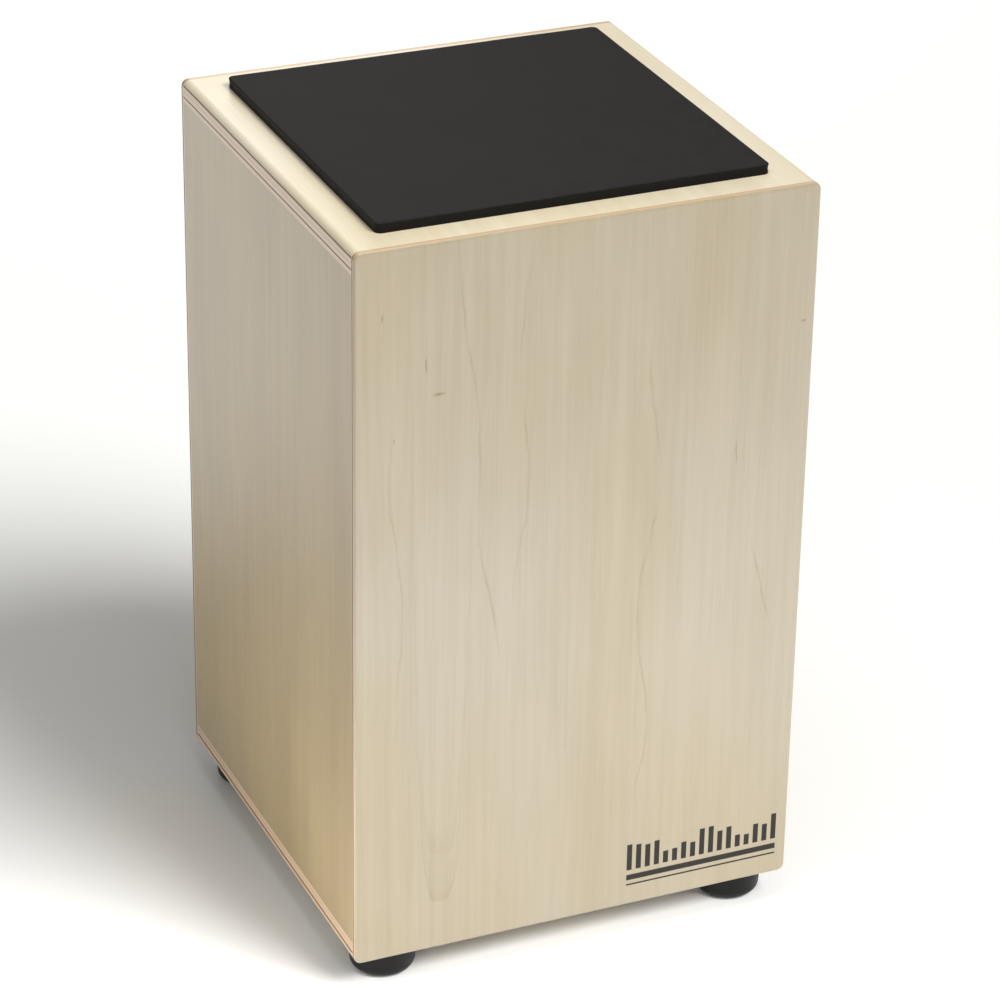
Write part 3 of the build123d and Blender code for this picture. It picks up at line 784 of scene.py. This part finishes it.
points = add(
    tree,
    "GeometryNodeMeshLine",
    {"Count": given.outputs["Count"], "Offset": pitch},
    mode="OFFSET",
    count_mode="TOTAL",
)
size = add(
    tree, "ShaderNodeCombineXYZ", {"X": given.outputs["Width"], "Y": given.outputs["Thickness"], "Z": 1.0}
)
bar = add(tree, "GeometryNodeMeshCube", {"Size": size})
bar = add(tree, "GeometryNodeTransform", {0: bar, "Translation": (0.0, 0.0, 0.5)})
parts = [add(tree, "GeometryNodeInstanceOnPoints", {"Points": points, "Instance": bar, "Scale": stretch})]
bar_pitch = (MARK_RIGHT - MARK_LEFT) / (BAR_COUNT - 1 + BAR_FILL)
first_bar = MARK_LEFT + bar_pitch * BAR_FILL / 2
for low, high in ((RULE_LOW, RULE_HIGH), (HAIR_LOW, HAIR_HIGH)):
    size = add(
        tree, "ShaderNodeCombineXYZ",
        {"X": MARK_RIGHT - MARK_LEFT, "Y": given.outputs["Thickness"], "Z": high - low},
    )
    rule = add(tree, "GeometryNodeMeshCube", {"Size": size})
    shift = ((MARK_LEFT + MARK_RIGHT) / 2 - first_bar, 0.0, (low + high) / 2 - BARS_LOW)
    parts.append(add(tree, "GeometryNodeTransform", {0: rule, "Translation": shift}))
joined = tree.nodes.new("GeometryNodeJoinGeometry")
for part in parts:
    tree.links.new(part.outputs[0], joined.inputs[0])
close_tree(tree, joined, INK)

mark = grown(
    "rhythm_mark_print",
    bpy.data.meshes.new("rhythm_mark_print"),
    tree,
    sockets,
    {
        "Count": BAR_COUNT,
        "Pitch": bar_pitch,
        "Width": bar_pitch * BAR_FILL,
        "Short": BAR_SHORT,
        "Tall": BAR_TALL,
        "Thickness": INK_PROUD + INK_SUNK,
    },
)
ink_middle = FRONT_Y + (INK_SUNK - INK_PROUD) / 2
mark.data.transform(Matrix.Translation((first_bar, ink_middle, BOX_LOW + BARS_LOW)))
mark.data.shade_flat()
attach(mark, "box")
print("printed mark:", BAR_COUNT, "bars, pitch", round(bar_pitch / MM, 2), "mm")

# %% [markdown]
# A snare string is a wound guitar string. It runs down from a crimped stop, round a peg and up to the
# next stop, and it buzzes against the inside of the tapa. A smooth tube would look like plain wire. Here
# a curve follows the string's line and a tube is swept along it whose radius swells once for each turn
# of the winding. A real winding is four times finer, too fine to show, so it is drawn this coarse.

# %% Wound snare strings
STRING_RADIUS = 0.45 * MM
BEND_RADIUS = 4.47 * MM
WINDING_PITCH = 1.0 * MM
WINDING_SWELL = 0.14
RINGS_PER_TURN = 4
ARC_STEPS = 14

material, tree, place = new_material("nickel_steel_wound_string")
tarnish = noise(tree, place, (120, 120, 120), 3.0, 0.6)
colour = add(
    tree, "ShaderNodeValToRGB", {0: tarnish}, stops=[(0.35, linear("#A9A297")), (0.65, linear("#CFCBC3"))]
)
rough = add(tree, "ShaderNodeMapRange", {0: tarnish, 3: 0.42, 4: 0.26})
shader = add(
    tree, "ShaderNodeBsdfPrincipled", {"Base Color": colour, "Metallic": 1.0, "Roughness": rough}
)
add(tree, "ShaderNodeOutputMaterial", {"Surface": shader})
STRING_METAL = material

tree, given, sockets = new_tree(
    "wound_string", Radius="NodeSocketFloat", Winding="NodeSocketFloat", Swell="NodeSocketFloat"
)
line = add(tree, "GeometryNodeMeshToCurve", {0: given.outputs["Geometry"]})
step = add(tree, "ShaderNodeMath", {0: given.outputs["Winding"], 1: 1 / RINGS_PER_TURN}, operation="MULTIPLY")
line = add(tree, "GeometryNodeResampleCurve", {0: line, "Length": step}, mode="LENGTH")
along = add(tree, "GeometryNodeSplineParameter")
angle = add(
    tree, "ShaderNodeMath", {0: along.outputs["Length"], 1: given.outputs["Winding"]}, operation="DIVIDE"
)
angle = add(tree, "ShaderNodeMath", {0: angle, 1: 2 * math.pi}, operation="MULTIPLY")
swell = add(tree, "ShaderNodeMath", {0: angle}, operation="COSINE")
swell = add(tree, "ShaderNodeMath", {0: swell, 1: 0.5, 2: -0.5}, operation="MULTIPLY_ADD")
swell = add(tree, "ShaderNodeMath", {0: swell, 1: given.outputs["Swell"], 2: 1.0}, operation="MULTIPLY_ADD")
line = add(tree, "GeometryNodeSetCurveRadius", {0: line, "Radius": swell})
ring = add(
    tree,
    "GeometryNodeCurvePrimitiveCircle",
    {"Resolution": 8, "Radius": given.outputs["Radius"]},
    mode="RADIUS",
)
tube = add(tree, "GeometryNodeCurveToMesh", {0: line, 1: ring, "Fill Caps": True})
close_tree(tree, tube, STRING_METAL)

for side in SIDES:
    low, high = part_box(f"snare_string_{side}")
    middle = (low.x + high.x) / 2
    plane_y = (low.y + high.y) / 2
    spread = (high.x - low.x) / 2 - STRING_RADIUS
    peg_z = low.z + STRING_RADIUS + BEND_RADIUS
    rise = high.z - peg_z
    touch = math.atan2(rise, spread) - math.acos(BEND_RADIUS / math.hypot(spread, rise))
    spots = [Vector((-spread, 0, rise))]
    for step in range(ARC_STEPS + 1):
        angle = math.pi - touch + (2 * touch + math.pi) * step / ARC_STEPS
        spots.append(Vector((math.cos(angle), 0, math.sin(angle))) * BEND_RADIUS)
    spots.append(Vector((spread, 0, rise)))
    base = bpy.data.meshes.new(f"snare_string_{side}_wound")
    base.from_pydata(
        [spot + Vector((middle, plane_y, peg_z)) for spot in spots],
        [(i, i + 1) for i in range(len(spots) - 1)],
        [],
    )
    string = grown(
        f"snare_string_{side}_wound", base, tree, sockets,
        {"Radius": STRING_RADIUS, "Winding": WINDING_PITCH, "Swell": WINDING_SWELL},
    )
    string.data.shade_smooth()
    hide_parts(f"snare_string_{side}")
    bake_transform(string)
    print(string.name, len(string.data.polygons), "faces, foot at", round(peg_z, 4))

# %% [markdown]
# The tension bolts are socket-head cap screws turned from below with a hex key. The frame has them as
# plain pins, since a thread doesn't matter to it. A thread is a surface whose radius depends on height
# and angle together, so it is simplest to write it as loops of points and let one rule give each point
# its radius. The head gets its hexagonal socket from the same loops, with a hexagon's radius.

# %% Threaded tension bolts
THREAD_PITCH = 1.0 * MM
THREAD_CORE = 2.45 * MM
THREAD_LENGTH = 31.0 * MM
THREAD_STEPS = 6
AROUND = 48
HEAD_HEIGHT = 6.0 * MM
HEAD_EDGE = 0.6 * MM
SOCKET_FLAT, SOCKET_DEPTH = 2.5 * MM, 3.5 * MM
SHANK_RADIUS, GROOVE_RADIUS = 2.95 * MM, 2.4 * MM
KNURL = 0.12 * MM
GROOVE_GAP = 0.05 * MM


def ring_of(work, middle, height, radius_at):
    """One loop of vertices round an upright axis; `radius_at` gives the radius at each angle."""
    ring = []
    for step in range(AROUND):
        angle = 2 * math.pi * step / AROUND
        radius = radius_at(angle, step)
        out = Vector((math.cos(angle) * radius, math.sin(angle) * radius, height))
        ring.append(work.verts.new(out + Vector((middle.x, middle.y, 0))))
    return ring


def plain(radius):
    return lambda angle, step: radius


def hexagon(angle, step):
    return SOCKET_FLAT / math.cos((angle + math.pi / 6) % (math.pi / 3) - math.pi / 6)


def knurled(radius):
    return lambda angle, step: radius - KNURL * (step % 2)


def thread_at(height):
    """The thread's radius round one loop at a height, between its core and its crest."""
    def radius_at(angle, step):
        turn = (height / THREAD_PITCH - angle / (2 * math.pi)) % 1.0
        ridge = 1 - abs(2 * turn - 1)
        return THREAD_CORE + (SHANK_RADIUS - THREAD_CORE) * min(1.0, 1.25 * ridge)
    return radius_at


def black_oxide():
    """Steel boiled black in salts: a thin blue-black skin that lets the metal's gloss through."""
    material, tree, place = new_material("steel_black_oxide")
    haze = noise(tree, place, (400, 400, 400), 3.0, 0.6)
    colour = add(
        tree, "ShaderNodeValToRGB", {0: haze}, stops=[(0.3, linear("#2E2E31")), (0.7, linear("#4A4947"))]
    )
    rough = add(tree, "ShaderNodeMapRange", {0: haze, 3: 0.32, 4: 0.5})
    shader = add(
        tree, "ShaderNodeBsdfPrincipled", {"Base Color": colour, "Metallic": 1.0, "Roughness": rough}
    )
    add(tree, "ShaderNodeOutputMaterial", {"Surface": shader})
    return material


BLACK_OXIDE = black_oxide()
for side in SIDES:
    low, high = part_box(f"tension_bolt_{side}")
    clip_low, clip_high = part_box(f"bolt_clip_{side}")
    middle = (low + high) / 2
    head_radius = (high.x - low.x) / 2
    seat = low.z + HEAD_HEIGHT
    work = bmesh.new()
    rings = [
        (low.z + SOCKET_DEPTH, hexagon),
        (low.z + 0.3 * MM, hexagon),
        (low.z, plain(SOCKET_FLAT * 1.18)),
        (low.z, plain(head_radius - HEAD_EDGE)),
        (low.z + HEAD_EDGE * 0.4, plain(head_radius - HEAD_EDGE * 0.3)),
        (low.z + HEAD_EDGE, plain(head_radius)),
        (low.z + HEAD_EDGE * 1.4, knurled(head_radius)),
        (seat - 0.5 * MM, knurled(head_radius)),
        (seat - 0.3 * MM, plain(head_radius)),
        (seat, plain(head_radius - 0.1 * MM)),
        (seat, plain(SHANK_RADIUS)),
        (clip_low.z - GROOVE_GAP, plain(SHANK_RADIUS)),
        (clip_low.z - GROOVE_GAP, plain(GROOVE_RADIUS)),
        (clip_high.z + GROOVE_GAP, plain(GROOVE_RADIUS)),
        (clip_high.z + GROOVE_GAP, plain(SHANK_RADIUS)),
        (high.z - THREAD_LENGTH - 1.0 * MM, plain(SHANK_RADIUS)),
    ]
    height = high.z - THREAD_LENGTH
    while height < high.z - 0.6 * MM:
        rings.append((height, thread_at(height)))
        height += THREAD_PITCH / THREAD_STEPS
    rings.append((high.z - 0.5 * MM, plain(THREAD_CORE)))
    rings.append((high.z, plain(THREAD_CORE - 0.4 * MM)))
    stitch_loops(work, [ring_of(work, middle, height, rule) for height, rule in rings])
    bolt = new_piece(f"tension_bolt_{side}_threaded", work, BLACK_OXIDE, smooth=False)
    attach(bolt, f"bolt_{side}")
    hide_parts(f"tension_bolt_{side}")
    print(bolt.name, len(bolt.data.polygons), "faces, thread pitch", round(THREAD_PITCH / MM, 2), "mm")
finish_with(BLACK_OXIDE, "bolt_clip_left", "bolt_clip_right")

# %% [markdown]
# The battens and the block inside are solid wood. Softwood such as pine shows its yearly rings as
# yellow-brown stripes 2 to 4 mm apart along the batten. Beech is a fine even wood, pinkish, with short
# dark ray flecks. Both are planed and left raw, so they are matt. The rings are a distance across the
# fibres that repeats, bent by a slow pattern, and the fibres and flecks are patterns stretched along them.

# %% Solid wood inside
RING_SPACING = 3.2 * MM
RAY_ACROSS, RAY_ALONG = 0.6 * MM, 3.5 * MM


def solid_wood(name, grain, early, late, ring_contrast, ray_strength):
    """Raw planed wood with its fibres along one axis."""
    material, tree, place = new_material(name)
    fibre = noise(tree, place, stretched(grain, 0.8 * MM, 70 * MM), 3.0, 0.65)
    swirl = noise(tree, place, stretched(grain, 30 * MM, 320 * MM), 2.0, 0.5)
    outward = [0.8 / RING_SPACING, 0.6 / RING_SPACING, 0.6 / RING_SPACING]
    outward[grain] = 0.0
    band = add(
        tree, "ShaderNodeVectorMath", {0: place.outputs["Object"], 1: outward}, operation="DOT_PRODUCT"
    )
    band = add(tree, "ShaderNodeMath", {0: swirl, 1: 5.0, 2: band}, operation="MULTIPLY_ADD")
    band = add(tree, "ShaderNodeMath", {0: band}, operation="FRACT")
    band = add(tree, "ShaderNodeMath", {0: band, 1: 2.2}, operation="POWER")
    ray = noise(tree, place, stretched(grain, RAY_ACROSS, RAY_ALONG), 1.0, 0.5, shift=(2.0, 2.0, 2.0))
    ray = add(tree, "ShaderNodeMapRange", {0: ray, 1: 0.64, 2: 0.7, 3: 0.0, 4: ray_strength})
    tone = add(tree, "ShaderNodeMath", {0: band, 1: ring_contrast, 2: ray}, operation="MULTIPLY_ADD")
    tone = add(tree, "ShaderNodeMath", {0: fibre, 1: 0.35, 2: tone}, operation="MULTIPLY_ADD")
    colour = add(
        tree, "ShaderNodeValToRGB", {0: tone}, stops=[(0.1, linear(early)), (0.95, linear(late))]
    )
    bump = add(tree, "ShaderNodeBump", {"Strength": 0.3, "Distance": 0.08 * MM, "Height": fibre})
    shader = add(
        tree,
        "ShaderNodeBsdfPrincipled",
        {"Base Color": colour, "Roughness": 0.68, "Normal": bump, "IOR": 1.5, "Specular IOR Level": 0.3},
    )
    add(tree, "ShaderNodeOutputMaterial", {"Surface": shader})
    return material


ends = ("front", "back")
across = solid_wood("pine_planed_across", X_AXIS, "#DCC59A", "#B58D58", 0.5, 0.0)
upright = solid_wood("pine_planed_upright", Z_AXIS, "#DCC59A", "#B58D58", 0.5, 0.0)
finish_with(across, *[f"{end}_batten_{place}" for end in ends for place in ("top", "bottom")])
finish_with(upright, *[f"{end}_batten_{side}" for end in ends for side in SIDES])
finish_with(solid_wood("beech_planed", X_AXIS, "#CFA67F", "#A5764F", 0.25, 0.5), "tuner_block")

# %% [markdown]
# The feet are moulded rubber bumpers: nearly black, with a soft satin skin from the mould that catches
# one broad highlight, and a fine dusty bloom. Low roughness would look like wet plastic.

# %% Moulded rubber feet
FEET = [f"foot_{end}_{side}" for end in ends for side in SIDES]

material, tree, place = new_material("rubber_moulded_black")
bloom = noise(tree, place, (90, 90, 90), 4.0, 0.65)
grit = noise(tree, place, (1 / (0.5 * MM),) * 3, 2.0, 0.6)
colour = add(
    tree, "ShaderNodeValToRGB", {0: bloom}, stops=[(0.35, linear("#060505")), (0.75, linear("#0E0C0C"))]
)
bump = add(tree, "ShaderNodeBump", {"Strength": 0.12, "Distance": 0.06 * MM, "Height": grit})
rough = add(tree, "ShaderNodeMapRange", {0: bloom, 3: 0.4, 4: 0.55})
shader = add(
    tree,
    "ShaderNodeBsdfPrincipled",
    {"Base Color": colour, "Roughness": rough, "Normal": bump, "IOR": 1.52, "Specular IOR Level": 0.3},
)
add(tree, "ShaderNodeOutputMaterial", {"Surface": shader})
finish_with(material, *FEET)

# %% [markdown]
# The metal parts differ in colour and in the marks of how they were made. Zinc plate is bluish with a
# cloudy spangle. Mill aluminium is pale with fine lines along the bar, where the die dragged. Brass is
# warm and a little tarnished. The carriers are milled steel, with short tool marks. Nickel plate is the
# glossiest, warm white. One function makes all five from a colour pair, a gloss range and a mark size.

# %% Metals
def metal(name, dull, bright, gloss, marks, relief):
    """Bare or plated metal. `marks` is a mapping scale, `gloss` the range of roughness."""
    material, tree, place = new_material(name)
    mark_pattern = noise(tree, place, marks, 3.0, 0.6)
    cloud = noise(tree, place, (150, 150, 150), 2.0, 0.5)
    tone = add(tree, "ShaderNodeMath", {0: cloud, 1: 0.5}, operation="MULTIPLY")
    tone = add(tree, "ShaderNodeMath", {0: mark_pattern, 1: 0.5, 2: tone}, operation="MULTIPLY_ADD")
    colour = add(
        tree, "ShaderNodeValToRGB", {0: tone}, stops=[(0.3, linear(dull)), (0.68, linear(bright))]
    )
    rough = add(tree, "ShaderNodeMapRange", {0: tone, 1: 0.3, 2: 0.7, 3: gloss[1], 4: gloss[0]})
    bump = add(tree, "ShaderNodeBump", {"Strength": relief, "Distance": 0.03 * MM, "Height": mark_pattern})
    shader = add(
        tree,
        "ShaderNodeBsdfPrincipled",
        {"Base Color": colour, "Metallic": 1.0, "Roughness": rough, "Normal": bump},
    )
    add(tree, "ShaderNodeOutputMaterial", {"Surface": shader})
    return material


finish_with(
    metal("steel_zinc_plated", "#AEB3B8", "#D3D7DA", (0.28, 0.46), (700, 700, 700), 0.15),
    "foot_washers", "foot_screws", "anchor_screws", "tuner_block_screws",
)
finish_with(
    metal(
        "aluminium_mill_finish", "#B9BBBB", "#DCDDDC", (0.3, 0.45), stretched(X_AXIS, 0.35 * MM, 40 * MM), 0.3
    ),
    "string_anchor_bar",
)
finish_with(
    metal("brass_crimped", "#A88648", "#D8B974", (0.25, 0.5), (900, 900, 900), 0.3),
    "string_stops",
)
finish_with(
    metal("steel_milled", "#85868A", "#B4B5B6", (0.3, 0.5), stretched(Z_AXIS, 0.3 * MM, 6 * MM), 0.35),
    "string_carrier_left", "string_carrier_right",
)
finish_with(
    metal("nickel_plated_steel", "#BDB7AA", "#DED9CE", (0.12, 0.26), (500, 500, 500), 0.06),
    "bolt_ferrule_left", "bolt_ferrule_right",
)

# %% [markdown]
# A finish must not change the drum's size.

# %% Before the end: the bounds of everything shown
low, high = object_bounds()
